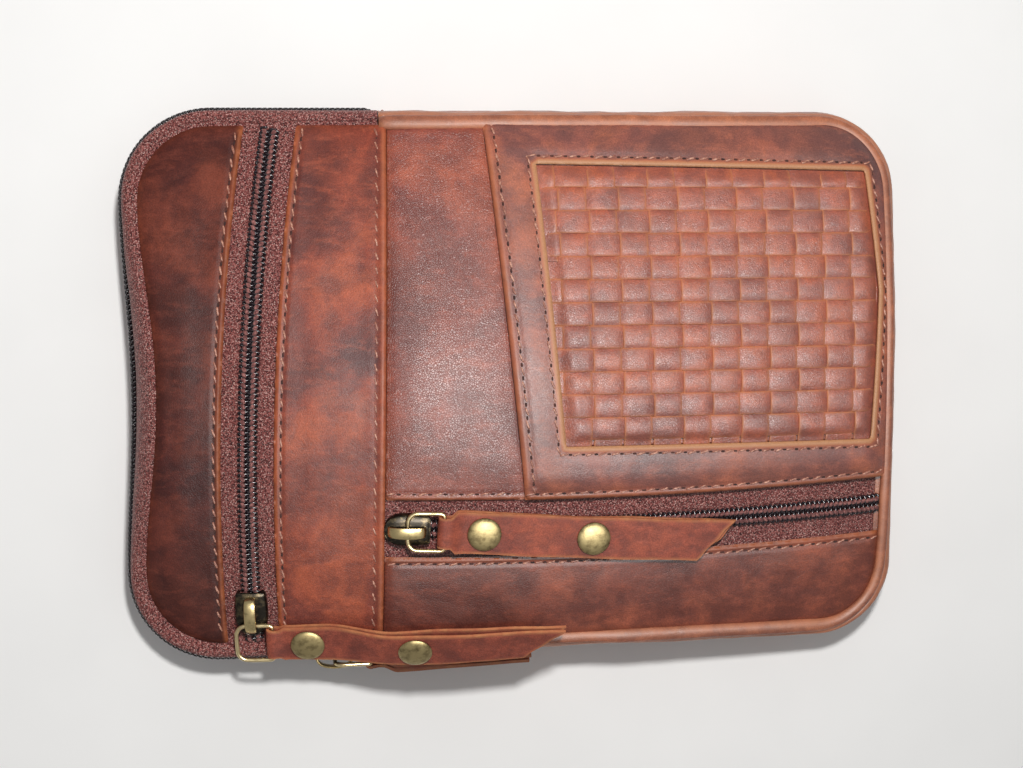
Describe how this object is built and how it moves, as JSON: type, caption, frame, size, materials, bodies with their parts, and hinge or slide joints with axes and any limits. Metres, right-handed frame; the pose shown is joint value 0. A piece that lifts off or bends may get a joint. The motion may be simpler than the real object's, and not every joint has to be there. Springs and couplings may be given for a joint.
{
  "type": "zippered leather travel pouch",
  "caption": "Flat zippered pouch in distressed brown leather with a clamshell front flap, a woven-leather slip pocket, outer zip pockets and folded leather zip pullers.",
  "frame": {"origin": "centre of the back resting face", "axes": "+X towards the bottom end of the pouch, +Y towards its left side seen from the front, +Z out of the front"},
  "size_m": [0.2304, 0.1659, 0.0387],
  "materials": {
    "body_leather": "distressed pull-up, semi-gloss",
    "woven_leather": "semi-gloss strips",
    "puller_leather": "matt with raw edges",
    "zip_tape": "knitted polyester",
    "zip_coil": "nylon monofilament",
    "lining_cloth": "plain woven cotton",
    "antique_brass_cap": "antique satin",
    "brass_wire": "antique satin",
    "dark_bronze": "dark antique with worn brass edges"
  },
  "bodies": {
    "pouch": {"back_lining": "lining_cloth", "back_panel": "body_leather", "divider_lining": "lining_cloth", "gusset_lining": "lining_cloth", "gusset_strip": "body_leather", "main_zip_back_coil": "zip_coil", "main_zip_back_tape": "zip_tape", "main_zip_front_coil_end_left": "zip_coil", "main_zip_front_coil_end_right": "zip_coil", "main_zip_front_tape_end_left": "zip_tape", "main_zip_front_tape_end_right": "zip_tape", "middle_panel": "body_leather", "pocket_base_panel": "body_leather", "pocket_zip_lower_coil": "zip_coil", "pocket_zip_lower_tape": "zip_tape", "pocket_zip_upper_coil": "zip_coil", "pocket_zip_upper_tape": "zip_tape", "side_panel": "body_leather", "side_pocket_lining": "lining_cloth", "slip_pocket_panel": "body_leather", "woven_patch": "woven_leather", "woven_patch_backing": "lining_cloth"},
    "front_flap": {"front_top_panel": "body_leather", "middle_panel_upper": "body_leather", "main_zip_front_tape": "zip_tape", "main_zip_front_coil": "zip_coil", "top_pocket_lining": "lining_cloth", "top_zip_inner_coil": "zip_coil", "top_zip_inner_tape": "zip_tape", "top_zip_outer_coil": "zip_coil", "top_zip_outer_tape": "zip_tape"},
    "top_slider": {"top_zip_slider": "dark_bronze"},
    "top_ring": {"top_zip_pull_ring": "brass_wire"},
    "top_puller": {"top_zip_puller": "puller_leather", "top_zip_puller_rivet_1": "antique_brass_cap", "top_zip_puller_rivet_2": "antique_brass_cap"},
    "pocket_slider": {"pocket_zip_slider": "dark_bronze"},
    "pocket_ring": {"pocket_zip_pull_ring": "brass_wire"},
    "pocket_puller": {"pocket_zip_puller": "puller_leather", "pocket_zip_puller_rivet_1": "antique_brass_cap", "pocket_zip_puller_rivet_2": "antique_brass_cap"},
    "main_slider": {"main_zip_slider": "dark_bronze"},
    "main_ring": {"main_zip_pull_ring": "brass_wire"},
    "main_puller": {"main_zip_puller": "puller_leather", "main_zip_puller_rivet_1": "antique_brass_cap", "main_zip_puller_rivet_2": "antique_brass_cap"}
  },
  "joints": [
    {"name": "front_flap_open", "type": "hinge", "parent": "pouch", "child": "front_flap", "pos_m": [-0.0595, 0, 0.0338], "axis": [0, 1, 0], "range_deg": [0, 95]},
    {"name": "top_slider_travel", "type": "hinge", "parent": "front_flap", "child": "top_slider", "pos_m": [0.01283, -0.00267, -0.22284], "axis": [-0.9384, 0.0492, -0.342], "range_deg": [0, 26.47]},
    {"name": "top_ring_lift", "type": "hinge", "parent": "top_slider", "child": "top_ring", "pos_m": [-0.0802, -0.06915, 0.02467], "axis": [-0.9924, -0.0058, -0.1232], "range_deg": [0, 25]},
    {"name": "top_puller_swing", "type": "hinge", "parent": "top_ring", "child": "top_puller", "pos_m": [-0.07393, -0.07451, 0.02391], "axis": [-0.0389, 0.9624, 0.2688], "range_deg": [-95, 0]},
    {"name": "pocket_slider_travel", "type": "hinge", "parent": "pouch", "child": "pocket_slider", "pos_m": [0.00392, 0.25426, -0.60194], "axis": [0, 0.9063, 0.4226], "range_deg": [0, 10.65]},
    {"name": "pocket_ring_lift", "type": "hinge", "parent": "pocket_slider", "child": "pocket_ring", "pos_m": [-0.03494, -0.04152, 0.03417], "axis": [-0.0159, -0.9892, -0.1456], "range_deg": [0, 45]},
    {"name": "pocket_puller_lift", "type": "hinge", "parent": "pocket_ring", "child": "pocket_puller", "pos_m": [-0.02439, -0.04182, 0.03507], "axis": [-0.0159, -0.9892, -0.1456], "range_deg": [0, 50]},
    {"name": "main_slider_travel", "type": "slide", "parent": "pouch", "child": "main_slider", "axis": [-1, 0, 0], "range_m": [0, 0.025]},
    {"name": "main_ring_swing", "type": "hinge", "parent": "main_slider", "child": "main_ring", "pos_m": [-0.056, -0.08285, 0.014], "axis": [0, 0, -1], "range_deg": [0, 45]},
    {"name": "main_puller_swing", "type": "hinge", "parent": "main_ring", "child": "main_puller", "pos_m": [-0.0454, -0.08285, 0.014], "axis": [0, 0, -1], "range_deg": [0, 50]}
  ],
  "couplings": [
    {"joint": "top_puller_swing", "follows": "front_flap_open", "ratio": -1}
  ]
}
